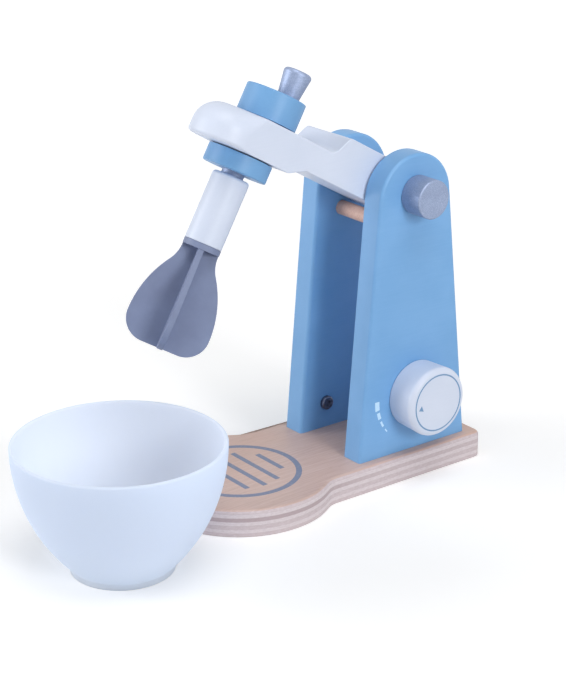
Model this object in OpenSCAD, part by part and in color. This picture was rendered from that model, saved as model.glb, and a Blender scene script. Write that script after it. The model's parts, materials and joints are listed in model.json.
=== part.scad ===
// Wooden toy stand mixer with a tilting arm, a hand crank, a beater and a loose bowl.
// The origin is on the base's underside, straight below the arm's pivot. The nose points to -X.

/* [Base board] */
// Thickness of the plywood base
base_t = 15; // [12:0.5:20]
// Width of the base's straight part
base_w = 78; // [70:1:90]
// Radius of the round front end, where the bowl is put
disc_r = 50; // [45:1:60]
// Distance from the pivot back to the base's rear edge
base_rear = 48.4; // [44:0.2:56]
// Radius where the straight sides run into the round end
base_fillet_r = 15; // [6:1:25]
// Radius of the two rear corners, seen from above
base_corner_r = 5; // [4:0.5:15]
// Rounding of the base's top edge
base_edge_r = 2.5; // [1:0.25:4]

/* [Side panels] */
// Thickness of each side panel
panel_t = 14; // [11:0.5:18]
// Reach of a panel's foot in front of the pivot
foot_front = 36.2; // [30:0.2:44]
// Reach of a panel's foot behind the pivot
foot_rear = 39.8; // [30:0.2:42]
// Radius of a panel's round top
panel_top_r = 24.3; // [20:0.1:28]
// Distance from the pivot down to the centre of the round top
panel_top_drop = 2.4; // [0:0.1:5]
// Rounding of a panel's edges
panel_edge_r = 1.8; // [0.5:0.1:3]

/* [Pivot] */
// Height of the pivot above the floor
pivot_h = 160.4; // [145:0.2:180]
// Diameter of the pivot dowel
pivot_d = 10; // [8:0.5:12]
// Diameter of the caps on the pivot dowel
cap_d = 21; // [16:0.5:24]
// Length of a cap
cap_len = 14; // [10:0.5:18]
// Depth of the hole in a cap
cap_bore = 9; // [6:0.5:9.5]
// Rounding of a cap's outer edge
cap_edge_r = 0.8; // [0.3:0.1:2]
// Diameter of the cross dowel that stops the arm both ways
stop_d = 8; // [6:0.5:10]
// Distance of the stop dowel in front of the pivot
stop_forward = 8; // [5:0.25:10]
// Depth of the stop dowel in each panel
stop_seat = 7; // [4:0.5:9]

/* [Arm] */
// Width of the arm
arm_w = 36.8; // [30:0.2:42]
// Angle of the raised arm above level
arm_tilt = 29.6; // [0:0.1:45]
// Reach from the pivot to the tip of the nose
nose_reach = 124.8; // [116:0.2:140]
// Reach of the arm behind the pivot
arm_rear = 14; // [12:0.5:18]
// Height of the arm's rear top above the pivot
rear_top = 12; // [9:0.2:15]
// Depth of the arm's rear underside below the pivot
rear_under = 13.6; // [9:0.2:16]
// Height of the head's top above the pivot
head_top = 1.2; // [0:0.2:6]
// Depth of the head's underside below the pivot
head_under = 18.5; // [16:0.5:22]
// Distance from the pivot to the foot of the step on top
notch_reach = 50; // [44:0.5:60]
// Length of the slope up from that step
notch_slope = 6; // [3:0.5:12]
// Distance from the pivot to the end of the head's underside
step_reach = 73.5; // [66:0.5:74]
// Length of the slope up from that end
step_slope = 10; // [5:0.5:16]
// Rounding of the round nose's top edge
nose_top_r = 13; // [6:0.5:14]
// Length behind the round nose in which that rounding runs out
nose_fade = 8; // [4:0.5:9]
// Rounding of the arm's rear end, seen from the side
arm_rear_r = 4.5; // [2:0.5:5]
// Rounding of the steps, seen from the side
step_r = 3; // [1:0.5:4]
// Rounding at the foot of the notch on top of the arm
notch_r = 6; // [1:0.5:8]
// Rounding of the round nose's lower edge
nose_under_r = 2; // [1:0.5:3]

/* [Crank and spindle] */
// Distance from the pivot to the spindle, and to the middle of the round base end
spindle_reach = 92; // [88:0.5:100]
// Diameter of the spindle dowel
spindle_d = 12; // [9:0.5:13]
// Diameter of the crank disc
crank_d = 32.3; // [29:0.1:36]
// Thickness of the crank disc
crank_t = 15; // [11:0.2:18]
// Distance from the spindle to the middle of the crank disc
crank_offset = 6; // [3:0.5:7]
// Depth of the spindle in the crank disc
crank_seat = 9; // [6:0.5:9.5]
// Distance from the spindle to the crank knob
knob_offset = 13.5; // [12:0.5:15]
// Diameter of the crank knob where it meets the disc
knob_foot_d = 11.4; // [9:0.2:13]
// Diameter of the crank knob at its top
knob_top_d = 15.7; // [13:0.1:18]
// Height of the crank knob
knob_h = 15.2; // [12:0.2:22]
// Rounding of the crank knob's top edge
knob_edge_r = 2; // [0.5:0.25:3]
// Diameter of the peg that holds the crank knob
peg_d = 6; // [4:0.5:6]
// Depth of the peg in the knob and in the disc
peg_seat = 9; // [6:0.5:9.5]
// Diameter of the collar under the head
collar_d = 34.4; // [30:0.2:38]
// Thickness of the collar under the head
collar_t = 9.4; // [7:0.2:13]
// Rounding of the turned edges on the crank disc and the collar
turned_edge_r = 0.8; // [0.3:0.1:1.5]
// Length of bare spindle between the collar and the holder
neck_len = 2.4; // [1:0.2:5]

/* [Beater] */
// Diameter of the round beater holder
holder_d = 20; // [18:0.5:24]
// Length of the beater holder
holder_len = 37; // [32:0.5:45]
// Rounding of the holder's top edge
holder_edge_r = 1.8; // [0.5:0.1:3]
// Depth of the spindle in the holder
holder_seat = 16; // [10:0.5:18]
// Thickness of the beater's collar
beater_collar_t = 3.1; // [2:0.1:5]
// Diameter of the shank on top of the beater
shank_d = 9; // [6:0.5:10]
// Length of the shank on top of the beater
shank_len = 12; // [8:0.5:13]
// Number of vanes on the beater
vane_count = 4; // [3:1:6]
// Thickness of a vane
vane_t = 3; // [2:0.1:5]
// Length of the vanes below the beater's collar
vane_len = 54.3; // [50:0.1:60]
// Reach of a vane at its widest
vane_reach = 22.2; // [20:0.2:25]
// Reach of a vane where it leaves the collar
vane_neck = 9.7; // [8:0.1:9.8]
// Rounding of a vane's lower corner
vane_corner_r = 12.4; // [8:0.1:16]
// Radius of a vane's long bulging edge
vane_belly_r = 57; // [52:1:80]
// Radius of the hollow between a vane's neck and its bulge
vane_hollow_r = 17; // [6:0.5:24]
// Turn of the first vane from the arm's own direction
vane_turn = 36; // [0:1:90]

/* [Dial] */
// Diameter of the dial at the panel
dial_d = 37.6; // [30:0.2:44]
// Diameter of the dial's face before its edge is rounded
dial_face_d = 39.2; // [29:0.2:42]
// Length of the dial
dial_len = 18.4; // [12:0.1:22]
// Rounding of the dial's front edge
dial_edge_r = 3.2; // [1:0.2:4]
// Distance of the dial behind the pivot
dial_back = 3; // [0:0.2:6]
// Height of the dial's axis above the floor
dial_h = 47.4; // [42:0.2:60]
// Diameter of the screw that the dial turns on
dial_screw_d = 4; // [3:0.5:5]
// Depth of that screw in the dial
dial_screw_seat = 12; // [6:0.5:14]

/* [Fasteners] */
// Diameter of a pan head
pan_d = 8; // [6.5:0.25:9]
// Height of a pan head
pan_h = 2.4; // [1.8:0.1:3]
// Width across the flats of a screw's socket
socket_w = 3; // [2:0.25:3.5]
// Depth of a screw's socket
socket_h = 1.4; // [0.8:0.1:1.6]
// Distance of the plain panel's inner screw in front of the pivot
panel_screw_front = 18.1; // [10:0.1:22]
// Height of the plain panel's inner screw above the floor
panel_screw_h = 29.9; // [27:0.1:36]
// Diameter of the plain panel's inner screw
panel_screw_d = 3.5; // [2.5:0.25:4]
// Depth of the plain panel's inner screw in the panel
panel_screw_seat = 10; // [6:0.5:10.5]
// Diameter of the screws that hold the panels on the base
base_screw_d = 4; // [3:0.5:5]
// Length of the screws that hold the panels on the base
base_screw_len = 36; // [30:1:50]
// Diameter of their countersunk heads
base_screw_head_d = 8; // [6.5:0.5:10]
// Depth of their heads inside the underside
base_screw_sink = 0.6; // [0.3:0.1:1.5]
// Distance of the base screws in front of the pivot
base_screw_front = 24; // [20:0.5:28]
// Distance of the base screws behind the pivot
base_screw_back = 28; // [20:0.5:32]
// Thickness of the thin washers on the pivot and the spindle
washer_t = 0.4; // [0.3:0.05:0.55]
// Diameter of the thin washers on the pivot and the spindle
washer_d = 20; // [16:0.5:24]

/* [Bowl] */
// Outer radius of the bowl's rim
bowl_rim_r = 53.5; // [46:0.5:56]
// Radius of the bowl's foot ring
bowl_foot_r = 26.5; // [20:0.5:32]
// Height of the bowl's foot ring
bowl_foot_h = 3; // [2:0.25:5]
// Height of the bowl
bowl_h = 67.5; // [55:0.5:70]
// Wall thickness of the bowl
bowl_wall = 2; // [1.2:0.1:3]
// Distance of the bowl in front of the pivot
bowl_front = 186; // [186:1:210]
// Distance of the bowl to the dial's side
bowl_side = 30; // [30:1:60]

/* [Clearances] */
// Gap on the radius of a glued dowel, peg or screw
glue_gap = 0.05; // [0.02:0.01:0.1]
// Gap on the radius of a turning dowel or screw
run_gap = 0.06; // [0.02:0.01:0.1]
// Gap between flat faces that turn past each other
face_gap = 0.2; // [0.15:0.05:0.4]
// Gap between the arm and the stop dowel at both ends of the travel
stop_gap = 0.3; // [0.2:0.05:0.6]

/* [Hidden] */
$fn = 96;
corner_steps = 10;
edge_steps = 5;
arc_step = 4;
cut = 1;

blue = "#4f9fdd";
white = "#eef1f6";
silver = "#aeb2bc";
beech = "#dcb48c";
grey_blue = "#6f7c9c";
milk = "#e3ebf6";
nylon = "#f2f2ec";
steel = "#7d7b78";

// The base's outline, from its round end, its straight sides and the curves that join them
base_half = base_w / 2;
disc_at = [-spindle_reach, 0];
fillet_at = [
    disc_at.x + sqrt(pow(disc_r + base_fillet_r, 2) - pow(base_half + base_fillet_r, 2)),
    base_half + base_fillet_r
];
fillet_turn = atan2(fillet_at.y - disc_at.y, fillet_at.x - disc_at.x);
corner_at = [base_rear - base_corner_r, base_half - base_corner_r];

// A panel's outline: two straight sides that touch the round top
panel_y = arm_w / 2 + washer_t + face_gap;
panel_out = panel_y + panel_t;
top_at = [0, pivot_h - panel_top_drop];
front_turn = side_turn([-foot_front, base_t], -1);
rear_turn = side_turn([foot_rear, base_t], 1);

// Reach from the pivot to the middle of the round nose, and to where its rounding starts
nose_at = nose_reach - arm_w / 2;
nose_start = nose_at - nose_fade;
// Reach from the pivot to the ends of the nose piece and of the rest of the arm, which overlap
nose_rear = step_reach + step_r;
arm_front = nose_rear + step_slope / 2;

// Heights in the arm's level frame, measured from the pivot
stop_drop = rear_under + stop_gap + stop_d / 2;
crank_z = head_top + washer_t + face_gap;
collar_z = -head_under - washer_t - face_gap - collar_t;
holder_z = collar_z - neck_len - holder_len;
beater_z = holder_z - beater_collar_t;
vane_wide_z = vane_len - vane_corner_r;

// A vane seen flat: the middles of its bulge and of its hollow, and the point where the two meet
belly_at = [vane_reach - vane_belly_r, -vane_wide_z];
hollow_x = vane_neck + vane_hollow_r;
hollow_rise = sqrt(pow(vane_belly_r + vane_hollow_r, 2) - pow(hollow_x - belly_at.x, 2));
hollow_at = [hollow_x, hollow_rise - vane_wide_z];
hollow_foot = belly_at + vane_belly_r * unit(hollow_at - belly_at);

// The outer wall of the bowl is one arc that starts on the foot ring and stands upright at the rim
bowl_flare = bowl_rim_r - bowl_foot_r;
bowl_rise = bowl_h - bowl_foot_h;
bowl_arc_r = (pow(bowl_rise, 2) + pow(bowl_flare, 2)) / (2 * bowl_flare);

function polar(r, a) = [r * cos(a), r * sin(a)];
function unit(v) = v / norm(v);
function turn_of(v) = atan2(v.y, v.x);
function half_turn(a) = a > 180 ? a - 360 : a < -180 ? a + 360 : a;

// Direction, from the round top's centre, of the point where the side from a foot touches it
function side_turn(foot, side) =
    let (reach = foot - top_at)
    (turn_of(reach) + side * acos(panel_top_r / norm(reach)) + 360) % 360;

// Where the side that faces a direction comes down to the base, set in by an inset
function side_foot(turn, inset) = [
    (panel_top_r - inset - sin(turn) * (base_t - top_at.y)) / cos(turn),
    base_t
];

// Points along an arc
function arc(centre, r, start, end) =
    let (count = ceil(abs(end - start) / arc_step))
    [for (k = [0 : count]) centre + polar(r, start + (end - start) * k / count)];

function all_but_first(points) = [for (i = [1 : len(points) - 1]) points[i]];
function all_but_last(points) = [for (i = [0 : len(points) - 2]) points[i]];
function far_side(point) = [point.x, -point.y];

// Inset and rise of one step around a rounded edge, from the side to the flat face
function edge_step(r, k) =
    let (turn = 90 * k / edge_steps)
    [r * (1 - cos(turn)), r * sin(turn)];

// The base seen from above, set in by an inset
function base_outline(inset) = concat(
    arc(disc_at, disc_r - inset, fillet_turn, 360 - fillet_turn),
    all_but_first(arc(far_side(fillet_at), base_fillet_r + inset, 180 - fillet_turn, 90)),
    arc(far_side(corner_at), base_corner_r - inset, -90, 0),
    arc(corner_at, base_corner_r - inset, 0, 90),
    all_but_last(arc(fillet_at, base_fillet_r + inset, 270, 180 + fillet_turn))
);

// A panel seen from its side, set in by an inset everywhere but at its foot
function panel_outline(inset) = concat(
    [side_foot(front_turn, inset), side_foot(rear_turn, inset)],
    arc(top_at, panel_top_r - inset, rear_turn, front_turn)
);

// Points of an outline whose corners [x, y, r] are rounded by arcs
function rounded(corners) = [
    for (i = [0 : len(corners) - 1])
        let (
            here = [corners[i].x, corners[i].y],
            before = corners[(i + len(corners) - 1) % len(corners)],
            after = corners[(i + 1) % len(corners)],
            to_before = unit([before.x, before.y] - here),
            to_after = unit([after.x, after.y] - here),
            r = corners[i].z,
            half = acos(to_before * to_after) / 2,
            centre = here + unit(to_before + to_after) * r / sin(half),
            start = turn_of(here + to_before * r / tan(half) - centre),
            sweep = half_turn(turn_of(here + to_after * r / tan(half) - centre) - start)
        )
        each r == 0 ? [here] : [
            for (k = [0 : corner_steps]) centre + polar(r, start + sweep * k / corner_steps)
        ]
];

// Half of a turned piece's section: a rounded top edge on a straight or tapered side
module turned(foot_d, top_d, h, edge_r) {
    rotate_extrude()
        polygon(rounded([[0, 0, 0], [foot_d / 2, 0, 0], [top_d / 2, h, edge_r], [0, h, 0]]));
}

// A solid through rings [outline, height] that have as many points each
module loft(rings) {
    count = len(rings[0][0]);
    polyhedron(
        points = [for (ring = rings, p = ring[0]) [p.x, p.y, ring[1]]],
        faces = concat(
            [[for (i = [0 : count - 1]) i]],
            [[for (i = [1 : count]) len(rings) * count - i]],
            [
                for (k = [1 : len(rings) - 1], i = [0 : count - 1])
                    let (low = (k - 1) * count, high = k * count, next = (i + 1) % count)
                    each [
                        [low + i, high + i, high + next],
                        [low + i, high + next, low + next]
                    ]
            ]
        )
    );
}

// Puts a shape at each of the four screws between the base and the panels
module at_base_screws() {
    for (x = [-base_screw_front, base_screw_back], side = [-1, 1])
        translate([x, side * (panel_y + panel_t / 2), 0])
            children();
}

module base_screw(gap) {
    head_h = (base_screw_head_d - base_screw_d) / 2;
    translate([0, 0, base_screw_sink]) {
        cylinder(h = head_h, d1 = base_screw_head_d + 2 * gap, d2 = base_screw_d + 2 * gap);
        cylinder(h = base_screw_len + gap, d = base_screw_d + 2 * gap);
    }
}

module base_board() {
    color(beech)
        difference() {
            loft(concat(
                [[base_outline(0), 0]],
                [
                    for (k = [0 : edge_steps])
                        let (edge = edge_step(base_edge_r, k))
                        [base_outline(edge.x), base_t - base_edge_r + edge.y]
                ]
            ));
            at_base_screws() {
                base_screw(glue_gap);
                translate([0, 0, -cut])
                    cylinder(h = base_screw_sink + cut, d = base_screw_head_d + 2 * glue_gap);
            }
        }
}

module base_screws() {
    color(steel)
        at_base_screws()
            difference() {
                base_screw(0);
                translate([0, 0, base_screw_sink - cut])
                    screw_socket(socket_h + cut);
            }
}

module screw_socket(h) {
    cylinder(h = h, d = socket_w / cos(30), $fn = 6);
}

// A panel drawn flat, its outline in X and Y and its thickness in Z
module flat_panel() {
    loft(concat(
        [
            for (k = [edge_steps : -1 : 0])
                let (edge = edge_step(panel_edge_r, k))
                [panel_outline(edge.x), panel_edge_r - edge.y]
        ],
        [
            for (k = [0 : edge_steps])
                let (edge = edge_step(panel_edge_r, k))
                [panel_outline(edge.x), panel_t - panel_edge_r + edge.y]
        ]
    ));
}

// A panel on the plain side, with the holes that both panels have
module bored_panel() {
    difference() {
        translate([0, panel_out, 0])
            rotate([90, 0, 0])
                flat_panel();
        translate([0, panel_y - cut, pivot_h])
            across(panel_t + 2 * cut, pivot_d / 2 + run_gap);
        at_stop(panel_y - cut)
            across(stop_seat + cut, stop_d / 2 + glue_gap);
        at_base_screws()
            base_screw(glue_gap);
    }
}

// A round bar that starts at Y = 0 and runs to +Y
module across(h, r) {
    rotate([-90, 0, 0])
        cylinder(h = h, r = r);
}

module at_stop(y) {
    translate([-stop_forward, y, pivot_h - stop_drop])
        children();
}

module at_dial(y) {
    translate([dial_back, y, dial_h])
        rotate([90, 0, 0])
            children();
}

module at_panel_screw() {
    translate([-panel_screw_front, panel_y, panel_screw_h])
        rotate([90, 0, 0])
            children();
}

module side_panel_dial() {
    color(blue)
        difference() {
            mirror([0, 1, 0])
                bored_panel();
            at_dial(-panel_y + cut)
                cylinder(h = panel_t + 2 * cut, r = dial_screw_d / 2 + run_gap);
        }
}

module side_panel_plain() {
    color(blue)
        difference() {
            bored_panel();
            at_panel_screw()
                translate([0, 0, -panel_screw_seat - glue_gap])
                    cylinder(h = panel_screw_seat + cut, r = panel_screw_d / 2 + glue_gap);
        }
}

module stop_dowel() {
    reach = panel_y + stop_seat - glue_gap;
    color(beech)
        at_stop(-reach)
            across(2 * reach, stop_d / 2);
}

// Puts a shape that is drawn for a level arm, pivot at the origin, at the arm's tilt
module on_arm() {
    translate([0, 0, pivot_h])
        rotate([0, arm_tilt, 0])
            children();
}

module on_spindle(z) {
    on_arm()
        translate([-spindle_reach, 0, z])
            children();
}

// The arm behind its nose, from the side: reach towards the nose in X, height above the pivot in Y
module arm_side() {
    polygon(rounded([
        [-arm_rear, rear_top, arm_rear_r],
        [-arm_rear, -rear_under, arm_rear_r],
        [step_reach - step_slope, -rear_under, step_r],
        [step_reach, -head_under, step_r],
        [arm_front, -head_under, 0],
        [arm_front, head_top, 0],
        [notch_reach, head_top, notch_r],
        [notch_reach - notch_slope, rear_top, step_r]
    ]));
}

// The round nose, whose rounded edges run out into the square head behind it
module arm_nose() {
    head_h = head_top + head_under;
    hull() {
        translate([-nose_at, 0, -head_under])
            rotate_extrude()
                polygon(rounded([
                    [0, 0, 0],
                    [arm_w / 2, 0, nose_under_r],
                    [arm_w / 2, head_h, nose_top_r],
                    [0, head_h, 0]
                ]));
        translate([-nose_start, -arm_w / 2, -head_under])
            cube([nose_start - nose_rear, arm_w, head_h]);
    }
}

module mixer_arm() {
    color(white)
        difference() {
            on_arm() {
                arm_nose();
                translate([0, -arm_w / 2, 0])
                    rotate([90, 0, 180])
                        linear_extrude(arm_w)
                            arm_side();
            }
            translate([0, -arm_w / 2 - cut, pivot_h])
                across(arm_w + 2 * cut, pivot_d / 2 + glue_gap);
            on_spindle(-head_under - cut)
                cylinder(h = head_under + head_top + 2 * cut, r = spindle_d / 2 + run_gap);
        }
}

module pivot_dowel() {
    reach = panel_out + face_gap + cap_bore - glue_gap;
    color(beech)
        translate([0, -reach, pivot_h])
            across(2 * reach, pivot_d / 2);
}

// A cap on the plain side
module pivot_cap() {
    translate([0, panel_out + face_gap, pivot_h])
        rotate([-90, 0, 0])
            difference() {
                turned(cap_d, cap_d, cap_len, cap_edge_r);
                translate([0, 0, -cut])
                    cylinder(h = cap_bore + cut, r = pivot_d / 2 + glue_gap);
            }
}

module pivot_cap_dial() {
    color(silver)
        mirror([0, 1, 0])
            pivot_cap();
}

module pivot_cap_plain() {
    color(silver)
        pivot_cap();
}

module washer(bore_r) {
    difference() {
        cylinder(h = washer_t, d = washer_d);
        translate([0, 0, -cut])
            cylinder(h = washer_t + 2 * cut, r = bore_r);
    }
}

module pivot_washers() {
    color(nylon)
        for (side = [0, 1])
            mirror([0, side, 0])
                translate([0, arm_w / 2, pivot_h])
                    rotate([-90, 0, 0])
                        washer(pivot_d / 2 + glue_gap);
}

module spindle_dowel() {
    low = collar_z - neck_len - holder_seat + glue_gap;
    high = crank_z + crank_seat - glue_gap;
    color(beech)
        on_spindle(low)
            cylinder(h = high - low, d = spindle_d);
}

module spindle_washers() {
    color(nylon)
        for (z = [head_top, -head_under - washer_t])
            on_spindle(z)
                washer(spindle_d / 2 + run_gap);
}

module crank_disc() {
    color(blue)
        on_spindle(crank_z)
            difference() {
                translate([crank_offset, 0, 0])
                    turned(crank_d, crank_d, crank_t, turned_edge_r);
                translate([0, 0, -cut])
                    cylinder(h = crank_seat + cut, r = spindle_d / 2 + glue_gap);
                translate([knob_offset, 0, crank_t - peg_seat])
                    cylinder(h = peg_seat + cut, r = peg_d / 2 + glue_gap);
            }
}

module crank_knob() {
    color(silver)
        on_spindle(crank_z + crank_t)
            translate([knob_offset, 0, 0])
                difference() {
                    turned(knob_foot_d, knob_top_d, knob_h, knob_edge_r);
                    translate([0, 0, -cut])
                        cylinder(h = peg_seat + cut, r = peg_d / 2 + glue_gap);
                }
}

module knob_peg() {
    reach = peg_seat - glue_gap;
    color(beech)
        on_spindle(crank_z + crank_t - reach)
            translate([knob_offset, 0, 0])
                cylinder(h = 2 * reach, d = peg_d);
}

module lower_collar() {
    color(blue)
        on_spindle(collar_z + collar_t)
            difference() {
                mirror([0, 0, 1])
                    turned(collar_d, collar_d, collar_t, turned_edge_r);
                translate([0, 0, -collar_t - cut])
                    cylinder(h = collar_t + 2 * cut, r = spindle_d / 2 + glue_gap);
            }
}

module beater_holder() {
    color(white)
        on_spindle(holder_z)
            difference() {
                turned(holder_d, holder_d, holder_len, holder_edge_r);
                translate([0, 0, holder_len - holder_seat])
                    cylinder(h = holder_seat + cut, r = spindle_d / 2 + glue_gap);
                translate([0, 0, -cut])
                    cylinder(h = shank_len + cut, r = shank_d / 2 + glue_gap);
            }
}

// A vane seen flat, hanging from Y = 0 on the beater's axis: neck, hollow, bulge and round lower corner
module vane_outline() {
    corner_x = vane_reach - vane_corner_r;
    translate([0, -vane_wide_z])
        square([vane_neck, vane_wide_z]);
    difference() {
        translate([0, hollow_foot.y])
            square([hollow_at.x, hollow_at.y - hollow_foot.y]);
        translate(hollow_at)
            circle(vane_hollow_r);
    }
    intersection() {
        translate(belly_at)
            circle(vane_belly_r);
        translate([0, -vane_wide_z])
            square([vane_reach, vane_wide_z + hollow_foot.y]);
    }
    translate([corner_x, -vane_wide_z])
        circle(vane_corner_r);
    translate([0, -vane_len])
        square([corner_x, vane_len - vane_wide_z]);
}

// One vane, from the beater's axis out to its edge
module vane() {
    translate([0, vane_t / 2, 0])
        rotate([90, 0, 0])
            linear_extrude(vane_t)
                intersection() {
                    vane_outline();
                    translate([0, -vane_len])
                        square([vane_reach, vane_len]);
                }
}

module beater() {
    color(grey_blue)
        on_spindle(beater_z) {
            cylinder(h = beater_collar_t - glue_gap, d = holder_d);
            cylinder(h = beater_collar_t + shank_len - glue_gap, d = shank_d);
            for (k = [0 : vane_count - 1])
                rotate(180 - vane_turn + k * 360 / vane_count)
                    vane();
        }
}

module speed_dial() {
    color(white)
        at_dial(-panel_out - face_gap)
            difference() {
                turned(dial_d, dial_face_d, dial_len, dial_edge_r);
                translate([0, 0, -cut])
                    cylinder(h = dial_screw_seat + cut, r = dial_screw_d / 2 + glue_gap);
            }
}

// A screw with a socketed pan head, its head's underside at Z = 0 and its shank towards -Z
module pan_screw(d, len) {
    difference() {
        union() {
            turned(pan_d, pan_d, pan_h, pan_h / 2);
            translate([0, 0, -len])
                cylinder(h = len, d = d);
        }
        translate([0, 0, pan_h - socket_h])
            screw_socket(socket_h + cut);
    }
}

module dial_screw() {
    shank = washer_t + face_gap + panel_t + face_gap + dial_screw_seat - glue_gap;
    color(steel)
        at_dial(-panel_y + washer_t + face_gap)
            mirror([0, 0, 1])
                pan_screw(dial_screw_d, shank);
}

module dial_washer() {
    color(nylon)
        at_dial(-panel_y + washer_t)
            difference() {
                cylinder(h = washer_t, d = pan_d + 2 * washer_t);
                translate([0, 0, -cut])
                    cylinder(h = washer_t + 2 * cut, r = dial_screw_d / 2 + run_gap);
            }
}

module panel_screw() {
    color(steel)
        at_panel_screw()
            pan_screw(panel_screw_d, panel_screw_seat);
}

// Half of the bowl's section: the wall between two arcs, the flat floor, the foot and the rounded rim
module bowl_section() {
    arc_at = [bowl_rim_r - bowl_arc_r, bowl_h];
    lip_r = bowl_wall / 2;
    wall_top = bowl_h - lip_r;
    intersection() {
        difference() {
            translate(arc_at)
                circle(bowl_arc_r);
            difference() {
                translate(arc_at)
                    circle(bowl_arc_r - bowl_wall);
                square([bowl_rim_r, bowl_foot_h + bowl_wall]);
            }
        }
        translate([0, bowl_foot_h])
            square([bowl_rim_r, wall_top - bowl_foot_h]);
    }
    translate([bowl_foot_r - bowl_wall, 0])
        square([bowl_wall, bowl_foot_h + lip_r]);
    translate([bowl_rim_r - lip_r, wall_top])
        circle(lip_r);
}

module bowl() {
    color(milk)
        translate([-bowl_front, -bowl_side, 0])
            rotate_extrude()
                bowl_section();
}

base_board();
side_panel_dial();
side_panel_plain();
base_screws();
stop_dowel();
mixer_arm();
pivot_dowel();
pivot_cap_dial();
pivot_cap_plain();
pivot_washers();
spindle_dowel();
spindle_washers();
crank_disc();
crank_knob();
knob_peg();
lower_collar();
beater_holder();
beater();
speed_dial();
dial_screw();
dial_washer();
panel_screw();
bowl();
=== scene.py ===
"""Finishes a wooden toy stand mixer: paint, plywood, silver caps, prints and a frosted bowl."""

import json
import math

import bmesh
import bpy
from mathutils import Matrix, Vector


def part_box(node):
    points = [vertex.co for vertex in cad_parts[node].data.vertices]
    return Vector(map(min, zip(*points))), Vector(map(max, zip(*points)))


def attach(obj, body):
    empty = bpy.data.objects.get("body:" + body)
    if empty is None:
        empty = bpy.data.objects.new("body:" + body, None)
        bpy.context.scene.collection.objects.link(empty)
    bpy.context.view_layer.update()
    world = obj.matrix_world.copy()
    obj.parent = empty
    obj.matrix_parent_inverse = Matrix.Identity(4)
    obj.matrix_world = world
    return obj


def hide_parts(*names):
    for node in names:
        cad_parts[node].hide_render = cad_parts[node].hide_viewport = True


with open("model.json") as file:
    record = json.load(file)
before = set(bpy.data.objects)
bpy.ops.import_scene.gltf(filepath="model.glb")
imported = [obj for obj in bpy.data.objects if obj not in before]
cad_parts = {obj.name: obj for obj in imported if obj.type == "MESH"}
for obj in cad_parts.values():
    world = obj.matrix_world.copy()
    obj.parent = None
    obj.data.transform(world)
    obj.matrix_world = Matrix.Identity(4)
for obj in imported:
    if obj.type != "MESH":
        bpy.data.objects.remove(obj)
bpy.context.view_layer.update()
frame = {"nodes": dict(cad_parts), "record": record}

BODY_OF = {
    node: body
    for body, members in frame["record"]["behaviour"]["bodies"].items()
    for node in members
}

MM = 0.001

# Mesh work
WELD = 0.004 * MM  # points nearer than this become one
FLAT = math.radians(0.05)  # faces that turn by less become one
SHARP = math.radians(38)  # edges that turn by more are broken
EDGE_STEPS = 3  # faces across a broken edge
FLAT_FACE_WEIGHT = 90  # how far large faces hold the shading flat

# Plywood, with its plies counted from 0 at the underside
PLY_COUNT = 7
CORE_PLY = 4
VENEER = 0.35  # share of the top ply that has the face's colour
GLUE_LINE = 0.04  # share of a ply at each of its faces
PLY_WAVER = 0.5 * MM
UNDERSIDE = 0.1 * MM  # height up to which the lower face's colour shows

# The core ply's end grain shows in full on the round end, and fades towards the straight sides
ROUND_END_X = -30 * MM
ROUND_END_FADE = 40 * MM

# The base's lower outline is rounder than its other edges
BASE_EDGE_R = 0.5 * MM
BASE_FOOT_R = 1.2 * MM
FOOT_TALL = 5 * MM

# The bowl's own sizes, as in the solids, and the fineness of its mesh
BOWL_WALL = 2.0 * MM
BOWL_FOOT_R = 26.5 * MM
BOWL_FOOT_H = 3.0 * MM
BOWL_WALL_STEPS = 40
BOWL_LIP_STEPS = 8
BOWL_TURN_STEPS = 128

# Prints lie half in the printed face. Their flat sizes are in millimetres and degrees.
PRINT_RISE = 0.05 * MM
PRINT_SINK = 0.05 * MM
DISC_RING_R = (30.2, 33.4)
DISC_RING_STEPS = 120
DIAL_RING_R = (15.4, 16.2)
DIAL_RING_STEPS = 96
DIAL_POINTER = ((-11.7, 0.9), (-13.7, -1.6), (-10.4, -2.5))
MARK_STEPS = 8
SPEED_MARKS = (  # inner radius, outer radius, start and end
    (25.8, 28.8, 178, 189),
    (25.9, 28.0, 192, 200.5),
    (26.2, 27.5, 204.5, 212),
    (26.5, 27.2, 217, 222),
)

# Turns that lay the fibres of a grain pattern along an axis
ALONG_X = (0.0, 0.0, 0.0)
ALONG_Y = (0.0, 0.0, math.radians(90))
ALONG_Z = (0.0, math.radians(90), 0.0)

# The photograph's view, fitted to the base, the panels and the dial
VIEW_AZIMUTH = math.radians(-37.4)
VIEW_ELEVATION = math.radians(20.32)
VIEW_TARGET = (-0.0592, 0.0, 0.0876)
VIEW_DISTANCE = 0.9997
VIEW_LENS_MM = 96.42
VIEW_SHIFT = (-0.0078, -0.0275)

BLACK = (0.0, 0.0, 0.0)
WHITE = (1.0, 1.0, 1.0)
WORLD_GREY = (0.26, 0.26, 0.26)
FLOOR_GREY = (0.86, 0.86, 0.86, 1.0)

base_low, base_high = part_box("base_board")
panel_low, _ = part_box("side_panel_dial")
dial_low, dial_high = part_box("speed_dial")
disc_x = base_low.x + (base_high.y - base_low.y) / 2
dial_x = (dial_low.x + dial_high.x) / 2
dial_z = (dial_low.z + dial_high.z) / 2


# Shader building

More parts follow.
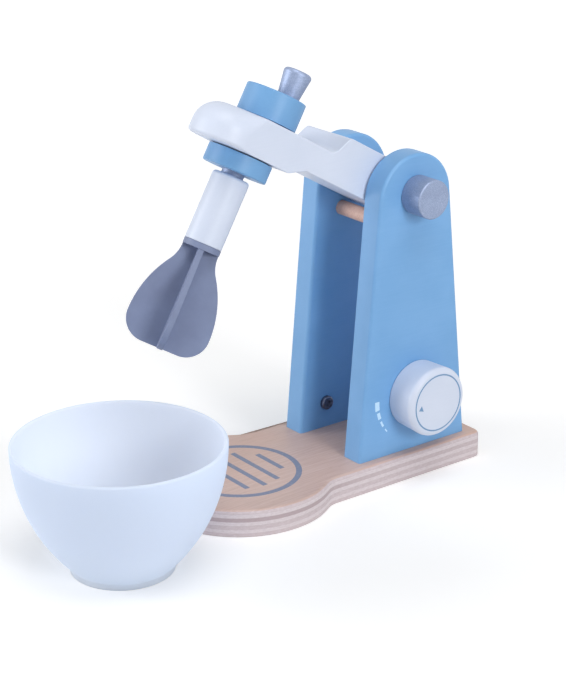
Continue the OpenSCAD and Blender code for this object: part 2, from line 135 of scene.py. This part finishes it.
class Signal:
    """A shader socket that can be used in sums, products and comparisons."""

    def __init__(self, nodes, socket):
        self.nodes = nodes
        self.socket = socket

    def maths(self, operation, *values, clamp=False):
        settings = {"operation": operation, "use_clamp": clamp}
        return self.nodes.node("ShaderNodeMath", settings, dict(enumerate(values)))

    def __add__(self, other):
        return self.maths("ADD", self, other)

    __radd__ = __add__

    def __sub__(self, other):
        return self.maths("SUBTRACT", self, other)

    def __rsub__(self, other):
        return self.maths("SUBTRACT", other, self)

    def __mul__(self, other):
        return self.maths("MULTIPLY", self, other)

    __rmul__ = __mul__

    def __truediv__(self, other):
        return self.maths("DIVIDE", self, other)

    def __abs__(self):
        return self.maths("ABSOLUTE", self)

    def __lt__(self, limit):
        return self.maths("LESS_THAN", self, limit)

    def __gt__(self, limit):
        return self.maths("GREATER_THAN", self, limit)

    def fraction(self):
        return self.maths("FRACT", self)

    def power(self, exponent):
        return self.maths("POWER", self, exponent)

    def clamped(self):
        return self.maths("ADD", self, 0.0, clamp=True)


class Nodes:
    """A shader tree that nodes are added to."""

    def __init__(self, tree):
        self.tree = tree

    def node(self, kind, settings=None, values=None, output=0):
        made = self.tree.nodes.new(kind)
        for name, setting in (settings or {}).items():
            if name == "stops":
                self.set_stops(made.color_ramp, setting)
            else:
                setattr(made, name, setting)
        for socket, value in (values or {}).items():
            self.feed(made.inputs[socket], value)
        return Signal(self, made.outputs[output])

    @staticmethod
    def set_stops(ramp, stops):
        while len(ramp.elements) < len(stops):
            ramp.elements.new(1.0)
        for element, (position, colour) in zip(ramp.elements, stops):
            element.position = position
            element.color = (*colour, 1.0)

    def feed(self, socket, value):
        if isinstance(value, Signal):
            self.tree.links.new(value.socket, socket)
        elif socket.type == "RGBA" and len(value) == 3:
            socket.default_value = (*value, 1.0)
        else:
            socket.default_value = value

    def mix(self, factor, first, second):
        values = {0: factor, 6: first, 7: second}
        return self.node("ShaderNodeMix", {"data_type": "RGBA"}, values, output=2)

    def seen(self):
        """1 for rays from the camera, reflected and passed ones too, and 0 for other light."""
        rays = self.node("ShaderNodeLightPath").socket.node.outputs
        kinds = ("Is Camera Ray", "Is Glossy Ray", "Is Transmission Ray")
        return sum(Signal(self, rays[kind]) for kind in kinds).clamped()


class Finish(Nodes):
    """A material with one Principled shader, built from signals."""

    def __init__(self, name, **constants):
        self.material = bpy.data.materials.new(name)
        self.material.use_nodes = True
        super().__init__(self.material.node_tree)
        self.shader = self.tree.nodes["Principled BSDF"]
        for socket, value in constants.items():
            self.shader.inputs[socket.replace("_", " ")].default_value = value
        self.place = self.node("ShaderNodeTexCoord", output="Object")

    def set(self, socket, value):
        self.feed(self.shader.inputs[socket], value)

    def stretched(self, scale, turn=ALONG_X):
        values = {"Vector": self.place, "Scale": scale, "Rotation": turn}
        return self.node("ShaderNodeMapping", None, values)

    def noise(self, scale, detail=3.0, rough=0.55, where=None):
        values = {
            "Vector": where or self.place, "Scale": scale, "Detail": detail, "Roughness": rough,
        }
        return self.node("ShaderNodeTexNoise", None, values)

    def ramp(self, factor, *stops):
        return self.node("ShaderNodeValToRGB", {"stops": stops}, {"Fac": factor})

    def axes(self):
        parts = self.node("ShaderNodeSeparateXYZ", None, {0: self.place}).socket.node
        return [Signal(self, parts.outputs[axis]) for axis in "XYZ"]

    def bump(self, height, strength, distance):
        values = {"Height": height, "Strength": strength, "Distance": distance}
        self.set("Normal", self.node("ShaderNodeBump", None, values))

    def let_through(self, share, colour):
        passed = self.node("ShaderNodeBsdfTranslucent", None, {"Color": colour})
        surface = Signal(self, self.shader.outputs[0])
        both = self.node("ShaderNodeMixShader", None, {0: share, 1: surface, 2: passed})
        self.feed(self.tree.nodes["Material Output"].inputs["Surface"], both)


def srgb(red, green, blue):
    """A colour as it is read off a screen, 0 to 255, for a shader socket."""
    def linear(level):
        share = level / 255
        return share / 12.92 if share <= 0.04045 else ((share + 0.055) / 1.055) ** 2.4

    return tuple(linear(level) for level in (red, green, blue))


# Finishes

def satin_paint(name, colour, deep_colour, rough, grain_turn):
    """Sprayed satin paint: a soft mottle, a trace of the grain below and fine orange peel."""
    finish = Finish(name, Specular_IOR_Level=0.45)
    mottle = finish.noise(scale=38.0, detail=4.0)
    grain = finish.noise(scale=60.0, where=finish.stretched((1.0, 22.0, 22.0), grain_turn))
    shade = mottle * 0.7 + grain * 0.3
    finish.set("Base Color", finish.ramp(shade, (0.3, deep_colour), (0.62, colour)))
    peel = finish.noise(scale=1400.0, detail=2.0)
    finish.set("Roughness", rough + (mottle - 0.5) * 0.12 + (peel - 0.5) * 0.06)
    finish.bump(peel * 0.6 + grain * 0.4, strength=0.12, distance=0.08 * MM)
    return finish.material


def silver_paint():
    """Metallic paint with fine flakes."""
    finish = Finish("silver_paint", Metallic=0.6)
    cells = {"Vector": finish.place, "Scale": 3200.0}
    flake = finish.node("ShaderNodeTexVoronoi", None, cells, output="Color")
    glint = finish.node("ShaderNodeSeparateColor", None, {0: flake})
    mottle = finish.noise(scale=120.0)
    finish.set("Base Color", finish.ramp(
        glint * 0.6 + mottle * 0.4,
        (0.1, srgb(132, 145, 172)),
        (0.6, srgb(147, 161, 190)),
        (0.95, srgb(172, 184, 210)),
    ))
    finish.set("Roughness", 0.5 + (glint - 0.5) * 0.12)
    finish.bump(glint, strength=0.06, distance=0.05 * MM)
    return finish.material


def wood_fibres(finish, turn):
    """Fine fibres along X before the turn, with the short dark flecks of beech."""
    fibres = finish.noise(70.0, 6.0, 0.62, finish.stretched((0.6, 16.0, 16.0), turn))
    flecks = finish.noise(190.0, 2.0, 0.5, finish.stretched((1.0, 6.5, 6.5), turn))
    return fibres, (flecks - 0.6).clamped() * 4.0


def plywood_face(finish, fibres, flecks):
    """The clear lacquered veneer, warmer in broad patches."""
    face = finish.ramp(
        fibres,
        (0.22, srgb(188, 159, 148)),
        (0.5, srgb(203, 176, 166)),
        (0.78, srgb(214, 193, 186)),
    )
    warmth = finish.noise(scale=14.0, detail=2.0)
    face = finish.mix(((warmth - 0.42) * 2.4).clamped(), face, srgb(209, 173, 157))
    return finish.mix(flecks.clamped() * 0.4, face, srgb(168, 134, 122))


def plywood_edge(finish, ply, x, end_grain):
    """Light and dark plies in turn, with a darker core ply and thin glue lines."""
    light = (ply * 0.5).fraction() > 0.5
    across_grain = 0.3 + 0.7 * ((ROUND_END_X - x) / ROUND_END_FADE).clamped()
    core = (ply > CORE_PLY) * (ply < CORE_PLY + 1) * across_grain
    light_ply = finish.ramp(end_grain, (0.3, srgb(208, 196, 199)), (0.7, srgb(221, 211, 214)))
    dark_ply = finish.ramp(end_grain, (0.3, srgb(195, 180, 183)), (0.7, srgb(210, 197, 200)))
    core_ply = finish.mix(end_grain, srgb(172, 154, 157), srgb(190, 173, 177))
    edge = finish.mix(light, finish.mix(core, dark_ply, core_ply), light_ply)
    glue = abs(ply.fraction() - 0.5) > 0.5 - GLUE_LINE
    return finish.mix(glue * 0.25, edge, srgb(160, 142, 145))


def plywood(board_t):
    """Lacquered plywood: face grain on top, and plies that show as bands on the edge."""
    finish = Finish("plywood", Specular_IOR_Level=0.4, Coat_Roughness=0.3)
    x, _, z = finish.axes()
    fibres, flecks = wood_fibres(finish, ALONG_X)
    waver = finish.noise(scale=26.0, detail=2.0, where=finish.stretched((1.0, 1.0, 0.2)))
    ply = (z + (waver - 0.5) * PLY_WAVER) / board_t * PLY_COUNT
    end_grain = finish.noise(520.0, 3.0, 0.6, finish.stretched((1.0, 1.0, 2.6)))
    face = plywood_face(finish, fibres, flecks)
    edge = plywood_edge(finish, ply, x, end_grain)
    inner = (z > UNDERSIDE) * (ply < PLY_COUNT - VENEER)
    finish.set("Base Color", finish.mix(inner, face, edge))
    finish.set("Roughness", 0.46 + (fibres - 0.5) * 0.2 + inner * 0.16)
    finish.set("Coat Weight", 0.16 - inner * 0.14)
    finish.bump(fibres * 0.6 + end_grain * inner * 0.4, strength=0.2, distance=0.12 * MM)
    return finish.material


def dowel_wood(name, turn):
    """Plain beech with its fibres along the dowel."""
    finish = Finish(name, Specular_IOR_Level=0.35)
    fibres, flecks = wood_fibres(finish, turn)
    tone = finish.ramp(
        fibres,
        (0.25, srgb(200, 160, 144)),
        (0.5, srgb(219, 181, 165)),
        (0.8, srgb(229, 198, 184)),
    )
    finish.set("Base Color", finish.mix(flecks.clamped() * 0.5, tone, srgb(166, 128, 112)))
    finish.set("Roughness", 0.55 + (fibres - 0.5) * 0.2)
    finish.bump(fibres, strength=0.25, distance=0.12 * MM)
    return finish.material


def beater_plastic():
    """Moulded grey-blue plastic with a fine spark-eroded grain."""
    finish = Finish("beater_plastic", Specular_IOR_Level=0.4)
    mottle = finish.noise(scale=55.0, detail=4.0)
    grain = finish.noise(scale=1800.0, detail=2.0)
    tone = finish.ramp(mottle, (0.3, srgb(113, 123, 153)), (0.7, srgb(126, 138, 169)))
    finish.set("Base Color", tone)
    finish.set("Roughness", 0.48 + (grain - 0.5) * 0.16 + (mottle - 0.5) * 0.1)
    finish.bump(grain, strength=0.14, distance=0.06 * MM)
    return finish.material


def frosted_plastic(height):
    """Milky plastic that scatters light and lets some of it through. Painted light makes its
    outer face palest at the foot and its inner face paler still.
    """
    finish = Finish(
        "bowl_plastic",
        Specular_IOR_Level=0.25,
        Subsurface_Weight=0.5,
        Subsurface_Scale=0.004,
        Subsurface_Radius=(1.0, 1.0, 1.0),
    )
    mottle = finish.noise(scale=24.0)
    frost = finish.noise(scale=1500.0, detail=2.0)
    # Painted light: the outer face is paler towards the foot, where shade falls near the floor.
    tall = finish.axes()[2] / height
    outer = finish.ramp(
        tall + (mottle - 0.5) * 0.3,
        (0.0, srgb(243, 247, 253)),
        (0.12, srgb(229, 237, 248)),
        (0.5, srgb(222, 230, 245)),
        (1.0, srgb(217, 226, 242)),
    )
    # Painted light: the inner face, shaded inside the hollow, is painted paler than the outer
    # face.
    inside = finish.node("ShaderNodeAttribute", {"attribute_name": "inside"}, output="Fac")
    finish.set("Base Color", finish.mix(inside, outer, srgb(249, 251, 255)))
    finish.set("Roughness", 0.62 + (frost - 0.5) * 0.14)
    finish.bump(frost, strength=0.1, distance=0.05 * MM)
    finish.let_through(share=0.46, colour=srgb(232, 239, 249))
    return finish.material


def nylon():
    """Natural nylon washers."""
    finish = Finish("nylon")
    mottle = finish.noise(scale=300.0, detail=2.0)
    tone = finish.ramp(mottle, (0.3, srgb(222, 222, 214)), (0.7, srgb(236, 236, 230)))
    finish.set("Base Color", tone)
    finish.set("Roughness", 0.42 + (mottle - 0.5) * 0.1)
    return finish.material


def screw_steel():
    """Dark zinc with turning marks."""
    finish = Finish("screw_steel", Metallic=0.9)
    scratch = finish.noise(scale=900.0, where=finish.stretched((1.0, 4.0, 1.0)))
    tone = finish.ramp(scratch, (0.3, srgb(80, 84, 100)), (0.7, srgb(118, 124, 144)))
    finish.set("Base Color", tone)
    finish.set("Roughness", 0.36 + (scratch - 0.5) * 0.3)
    return finish.material


def print_ink(name, colour, worn_colour):
    """Screen-printed ink, slightly uneven in cover."""
    finish = Finish(name, Specular_IOR_Level=0.35)
    cover = finish.noise(scale=650.0, detail=4.0, rough=0.6)
    finish.set("Base Color", finish.ramp(cover, (0.28, worn_colour), (0.46, colour)))
    finish.set("Roughness", 0.5 + (cover - 0.5) * 0.2)
    return finish.material


# Pieces

def linked(name, data):
    """A new object in the scene."""
    made = bpy.data.objects.new(name, data)
    bpy.context.scene.collection.objects.link(made)
    return made


def finished(mesh, name, material, body, replaced=()):
    """A piece with its one material, on its body and in place of its node."""
    piece = linked(name, mesh)
    mesh.materials.clear()
    mesh.materials.append(material)
    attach(piece, body)
    if replaced:
        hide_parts(*replaced)


def mesh_from_form(form, name):
    """A mesh from a bmesh, which is freed."""
    mesh = bpy.data.meshes.new(name)
    form.to_mesh(mesh)
    form.free()
    return mesh


def mesh_from_holder(holder):
    """A plain mesh with an object's modifiers applied. The object is removed."""
    bpy.context.view_layer.update()
    modified = holder.evaluated_get(bpy.context.evaluated_depsgraph_get())
    mesh = bpy.data.meshes.new_from_object(modified)
    bpy.data.objects.remove(holder)
    return mesh


def smooth_shaded(mesh):
    """Smooth shading over round faces, with sharp edges and flat faces kept."""
    mesh.shade_smooth()
    mesh.set_sharp_from_angle(angle=SHARP)
    holder = linked("shading", mesh)
    weighted = holder.modifiers.new("flat_faces", "WEIGHTED_NORMAL")
    weighted.keep_sharp = True
    weighted.weight = FLAT_FACE_WEIGHT
    return mesh_from_holder(holder)


def sharp_edges(form):
    return [
        edge for edge in form.edges
        if len(edge.link_faces) == 2 and edge.calc_face_angle() > SHARP
    ]


def foot_outline(form):
    """The sharp edges on the floor that bound a tall side, and no recess."""
    def on_floor(edge):
        return max(corner.co.z for corner in edge.verts) < WELD

    def tall(face):
        return max(corner.co.z for corner in face.verts) > FOOT_TALL

    return [
        edge for edge in sharp_edges(form)
        if on_floor(edge) and any(tall(face) for face in edge.link_faces)
    ]


def broken(form, edges, radius):
    """Rounds edges by a small radius."""
    bmesh.ops.bevel(
        form, geom=edges, offset=radius, offset_type="OFFSET", segments=EDGE_STEPS, profile=0.5,
        affect="EDGES", clamp_overlap=True,
    )


def dressed_node(node, material, edge_r, foot_r=0.0):
    """A copy of a solid with its sharp edges broken and its round faces shaded smooth."""
    form = bmesh.new()
    form.from_mesh(frame["nodes"][node].data)
    bmesh.ops.remove_doubles(form, verts=form.verts, dist=WELD)
    bmesh.ops.dissolve_limit(form, angle_limit=FLAT, verts=form.verts, edges=form.edges)
    if foot_r:
        broken(form, foot_outline(form), foot_r)
    broken(form, sharp_edges(form), edge_r)
    bmesh.ops.dissolve_degenerate(form, dist=WELD, edges=form.edges)
    name = node + "_dressed"
    mesh = smooth_shaded(mesh_from_form(form, name))
    finished(mesh, name, material, BODY_OF[node], [node])


def lathed(profile, centre, segments):
    """A closed half section of (radius, height) points, turned about an upright axis."""
    form = bmesh.new()
    rings = []
    for step in range(segments):
        turn = 2 * math.pi * step / segments
        across = Vector((math.cos(turn), math.sin(turn), 0.0))
        points = [centre + across * r + Vector((0.0, 0.0, z)) for r, z in profile]
        rings.append([form.verts.new(point) for point in points])
    for here, after in zip(rings, rings[1:] + rings[:1]):
        for k in range(len(profile)):
            nxt = (k + 1) % len(profile)
            if profile[k][0] or profile[nxt][0]:
                form.faces.new((here[k], after[k], after[nxt], here[nxt]))
    bmesh.ops.remove_doubles(form, verts=form.verts, dist=WELD)
    bmesh.ops.recalc_face_normals(form, faces=form.faces)
    return mesh_from_form(form, "lathed")


def arc_points(centre, radius, start, end, steps):
    return [
        (
            centre[0] + radius * math.cos(start + (end - start) * k / steps),
            centre[1] + radius * math.sin(start + (end - start) * k / steps),
        )
        for k in range(steps + 1)
    ]


def frosted_bowl(wall, foot_r, foot_h):
    """The bowl: one upright arc from the foot ring to the rim, a flat floor and a round lip."""
    low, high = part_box("bowl")
    rim_r = (high.x - low.x) / 2
    height = high.z - low.z
    flare = rim_r - foot_r
    rise = height - foot_h
    radius = (rise ** 2 + flare ** 2) / (2 * flare)
    inner_r = radius - wall
    middle = (rim_r - radius, height)
    lip = wall / 2
    lip_z = height - lip
    floor_z = foot_h + wall

    def turn_at(r, z):
        return -math.asin((height - z) / r)

    def wall_arc(r, start_z, end_z):
        return arc_points(middle, r, turn_at(r, start_z), turn_at(r, end_z), BOWL_WALL_STEPS)

    outside = wall_arc(radius, foot_h, lip_z)
    edge = arc_points((rim_r - lip, lip_z), lip, 0.0, math.pi, BOWL_LIP_STEPS)
    inside = wall_arc(inner_r, lip_z, floor_z)
    under = [
        (0.0, floor_z),
        (0.0, foot_h),
        (foot_r - wall, foot_h),
        (foot_r - wall, 0.0),
        (foot_r, 0.0),
    ]
    centre = Vector(((low.x + high.x) / 2, (low.y + high.y) / 2, low.z))
    mesh = smooth_shaded(lathed(outside + edge + inside + under, centre, BOWL_TURN_STEPS))
    # A share of 1 on the inner face and 0 outside, which the finish paints paler: painted light
    # in the shaded hollow.
    inside_painted_light = mesh.attributes.new("inside", "FLOAT", "POINT")
    for vertex, into in zip(mesh.vertices, inside_painted_light.data):
        across = (vertex.co - centre).to_2d().length
        from_middle = math.hypot(across - middle[0], vertex.co.z - low.z - middle[1])
        into.value = min(max((radius - from_middle) / wall, 0.0), 1.0)
    finished(mesh, "frosted_bowl", frosted_plastic(height), "bowl", ["bowl"])


# Prints

def on_base(u, v, out):
    return Vector((disc_x + u, v, base_high.z + out))


def on_panel(u, v, out):
    return Vector((dial_x + u, panel_low.y - out, dial_z + v))


def on_dial(u, v, out):
    return Vector((dial_x + u, dial_low.y - out, dial_z + v))


def printed(name, shapes, place, ink, body):
    """A thin print from flat shapes, each a list of points in millimetres on the printed face."""
    form = bmesh.new()
    for shape in shapes:
        form.faces.new([form.verts.new(place(u * MM, v * MM, PRINT_RISE)) for u, v in shape])
    bmesh.ops.remove_doubles(form, verts=form.verts, dist=WELD)
    copied = bmesh.ops.extrude_face_region(form, geom=form.faces[:], use_keep_orig=True)["geom"]
    lower = [item for item in copied if isinstance(item, bmesh.types.BMVert)]
    drop = place(0.0, 0.0, -PRINT_SINK) - place(0.0, 0.0, PRINT_RISE)
    bmesh.ops.translate(form, verts=lower, vec=drop)
    bmesh.ops.recalc_face_normals(form, faces=form.faces)
    finished(mesh_from_form(form, name), name, ink, body)


def arc_band(inner_r, outer_r, start, end, steps):
    """Flat pieces of a ring between two angles in degrees."""
    inner = arc_points((0.0, 0.0), inner_r, math.radians(start), math.radians(end), steps)
    outer = arc_points((0.0, 0.0), outer_r, math.radians(start), math.radians(end), steps)
    return [
        [inner[k], outer[k], outer[k + 1], inner[k + 1]]
        for k in range(steps)
    ]


def bar_print_tree():
    """Bars side by side whose ends lie on one circle."""
    tree = bpy.data.node_groups.new("bars_in_ring", "GeometryNodeTree")
    inputs = {
        "Count": "NodeSocketInt",
        "Pitch": "NodeSocketFloat",
        "Reach": "NodeSocketFloat",
        "Width": "NodeSocketFloat",
        "Thickness": "NodeSocketFloat",
        "Centre": "NodeSocketVector",
        "Ink": "NodeSocketMaterial",
    }
    for name, kind in inputs.items():
        tree.interface.new_socket(name, in_out="INPUT", socket_type=kind)
    tree.interface.new_socket("Geometry", in_out="OUTPUT", socket_type="NodeSocketGeometry")

    def add(kind, settings=None, links=None):
        made = tree.nodes.new(kind)
        for key, value in (settings or {}).items():
            setattr(made, key, value)
        for key, source in (links or {}).items():
            if isinstance(source, bpy.types.NodeSocket):
                tree.links.new(source, made.inputs[key])
            else:
                made.inputs[key].default_value = source
        return made.outputs

    def maths(operation, first, second=0.0):
        return add("ShaderNodeMath", {"operation": operation}, {0: first, 1: second})[0]

    def vector(x=0.0, y=0.0, z=0.0):
        return add("ShaderNodeCombineXYZ", None, {"X": x, "Y": y, "Z": z})[0]

    given = add("NodeGroupInput")
    last = maths("SUBTRACT", given["Count"], 1.0)
    middle = maths("MULTIPLY", last, 0.5)
    index = add("GeometryNodeInputIndex")[0]
    offset = maths("MULTIPLY", maths("SUBTRACT", index, middle), given["Pitch"])
    reach_squared = maths("POWER", given["Reach"], 2.0)
    half = maths("SQRT", maths("SUBTRACT", reach_squared, maths("POWER", offset, 2.0)))
    line = add("GeometryNodeMeshLine", None, {"Count": given["Count"]})[0]
    shifted = {0: vector(x=offset), 1: given["Centre"]}
    where = add("ShaderNodeVectorMath", {"operation": "ADD"}, shifted)[0]
    points = add("GeometryNodeSetPosition", None, {"Geometry": line, "Position": where})[0]
    size = vector(given["Width"], 2.0, given["Thickness"])
    bar = add("GeometryNodeMeshCube", None, {"Size": size})[0]
    placed = add("GeometryNodeInstanceOnPoints", None, {
        "Points": points, "Instance": bar, "Scale": vector(1.0, half, 1.0),
    })[0]
    solid = add("GeometryNodeRealizeInstances", None, {"Geometry": placed})[0]
    inked = add("GeometryNodeSetMaterial", None, {"Geometry": solid, "Material": given["Ink"]})[0]
    add("NodeGroupOutput", None, {"Geometry": inked})
    return tree


def bar_print(name, ink, body, slot, **inputs):
    """The bars of a print, from the tree's own inputs."""
    tree = bar_print_tree()
    holder = linked(name + "_holder", bpy.data.meshes.new(name + "_holder"))
    modifier = holder.modifiers.new("bars", "NODES")
    modifier.node_group = tree
    for item in tree.interface.items_tree:
        if item.in_out == "INPUT":
            value = ink if item.name == "Ink" else inputs[item.name.lower()]
            modifier[item.identifier] = value
    holder.update_tag()
    finished(mesh_from_holder(holder), name, ink, body)


# Stage

def camera():
    """The photograph's view."""
    back = Vector((
        math.sin(VIEW_AZIMUTH) * math.cos(VIEW_ELEVATION),
        -math.cos(VIEW_AZIMUTH) * math.cos(VIEW_ELEVATION),
        math.sin(VIEW_ELEVATION),
    ))
    lens = bpy.data.cameras.new("camera")
    lens.lens = VIEW_LENS_MM
    lens.shift_x, lens.shift_y = VIEW_SHIFT
    eye = linked("camera", lens)
    eye.location = Vector(VIEW_TARGET) + VIEW_DISTANCE * back
    eye.rotation_euler = back.to_track_quat("Z", "Y").to_euler()
    bpy.context.scene.camera = eye


def soft_box(name, place, target, size, watts):
    """A round studio lamp that faces its target."""
    lamp = bpy.data.lights.new(name, "AREA")
    lamp.shape = "DISK"
    lamp.size = size
    lamp.energy = watts
    box = linked(name, lamp)
    box.location = place
    box.rotation_euler = (Vector(place) - Vector(target)).to_track_quat("Z", "Y").to_euler()


def studio_world(light, background):
    """A world that lights the object with one colour and is seen in another."""
    world = bpy.data.worlds.new("studio")
    world.use_nodes = True
    nodes = Nodes(world.node_tree)
    tone = nodes.mix(nodes.seen(), light, background)
    nodes.feed(world.node_tree.nodes["Background"].inputs["Color"], tone)
    bpy.context.scene.world = world


def floor(half, dim_at, lift_near, lift_far, fade):
    """A pale floor that is seen as white, and glows less near dim_at to keep the shadow there."""
    mesh = bpy.data.meshes.new("floor")
    corners = [(-half, -half, 0), (half, -half, 0), (half, half, 0), (-half, half, 0)]
    mesh.from_pydata(corners, [], [(0, 1, 2, 3)])
    ground = linked("floor", mesh)
    finish = Finish(
        "floor",
        Roughness=0.9,
        Specular_IOR_Level=0.1,
        Base_Color=FLOOR_GREY,
        Emission_Strength=1.0,
    )
    x, y, _ = finish.axes()
    dx = x - dim_at[0]
    dy = y - dim_at[1]
    away = (dx * dx + dy * dy).power(0.5) / fade
    lift = finish.seen() * (lift_near + away.clamped() * (lift_far - lift_near))
    finish.set("Emission Color", finish.mix(lift, BLACK, WHITE))
    mesh.materials.append(finish.material)


# The wooden and turned pieces: material and radius of the broken edges in millimetres

blue = satin_paint("blue_paint", srgb(122, 173, 222), srgb(112, 165, 216), 0.42, ALONG_Z)
white = satin_paint("white_paint", srgb(212, 220, 237), srgb(206, 215, 233), 0.4, ALONG_X)
# A darker copy of the blue paint for the crank disc and the lower collar: painted shade, not a
# different paint.
shaded_blue = satin_paint(
    "shaded_blue_paint", srgb(114, 164, 211), srgb(104, 155, 204), 0.42, ALONG_X,
)
silver = silver_paint()
beech_across = dowel_wood("dowel_across", ALONG_Y)
beech_upright = dowel_wood("dowel_upright", ALONG_Z)
steel = screw_steel()
washer_nylon = nylon()

DRESS = {
    "side_panel_dial": (blue, 0.3),
    "side_panel_plain": (blue, 0.3),
    "stop_dowel": (beech_across, 0.2),
    "mixer_arm": (white, 1.1),
    "pivot_dowel": (beech_across, 0.2),
    "pivot_cap_dial": (silver, 0.3),
    "pivot_cap_plain": (silver, 0.3),
    "spindle_dowel": (silver, 0.2),
    "crank_disc": (shaded_blue, 0.3),
    "crank_knob": (silver, 0.3),
    "lower_collar": (shaded_blue, 0.3),
    "beater_holder": (white, 0.4),
    "beater": (beater_plastic(), 0.5),
    "speed_dial": (white, 0.4),
    "dial_screw": (steel, 0.12),
    "panel_screw": (steel, 0.12),
    "base_screws": (steel, 0.12),
    "knob_peg": (beech_upright, 0.2),
    "pivot_washers": (washer_nylon, 0.08),
    "spindle_washers": (washer_nylon, 0.08),
    "dial_washer": (washer_nylon, 0.08),
}

base_wood = plywood(base_high.z - base_low.z)
dressed_node("base_board", base_wood, BASE_EDGE_R, foot_r=BASE_FOOT_R)
for node, (material, edge_mm) in DRESS.items():
    dressed_node(node, material, edge_mm * MM)

frosted_bowl(BOWL_WALL, BOWL_FOOT_R, BOWL_FOOT_H)

# The prints on the base, the panel and the dial

grey_ink = print_ink("grey_ink", srgb(124, 133, 157), srgb(146, 148, 164))
pale_ink = print_ink("pale_ink", srgb(196, 228, 252), srgb(176, 212, 244))
dial_ink = print_ink("dial_ink", srgb(112, 150, 190), srgb(128, 162, 198))

disc_ring = arc_band(*DISC_RING_R, 0, 360, DISC_RING_STEPS)
speed_marks = [band for mark in SPEED_MARKS for band in arc_band(*mark, MARK_STEPS)]
dial_ring = arc_band(*DIAL_RING_R, 0, 360, DIAL_RING_STEPS)

printed("base_ring_print", disc_ring, on_base, grey_ink, "stand")
bar_print(
    "base_bar_print", grey_ink, "stand", "plywood",
    count=5,
    pitch=10.0 * MM,
    reach=23.0 * MM,
    width=3.0 * MM,
    thickness=PRINT_RISE + PRINT_SINK,
    centre=on_base(0.0, 0.0, 0.0),
)
printed("speed_marks", speed_marks, on_panel, pale_ink, "stand")
printed("dial_ring_print", dial_ring, on_dial, dial_ink, "dial")
printed("dial_pointer", [DIAL_POINTER], on_dial, dial_ink, "dial")

# The studio

camera()
soft_box("key", place=(-0.15, -1.65, 0.7), target=(0.0, 0.0, 0.1), size=0.6, watts=12.4)
soft_box("side", place=(-1.45, 0.95, 0.5), target=(-0.05, 0.0, 0.1), size=1.1, watts=16.0)
soft_box("top", place=(-0.15, -0.4, 1.6), target=(-0.05, 0.0, 0.1), size=1.1, watts=11.0)
studio_world(light=WORLD_GREY, background=WHITE)
floor(half=8.0, dim_at=(-0.15, -0.12), lift_near=0.2, lift_far=0.96, fade=2.1)

bpy.context.scene.view_settings.view_transform = "Standard"
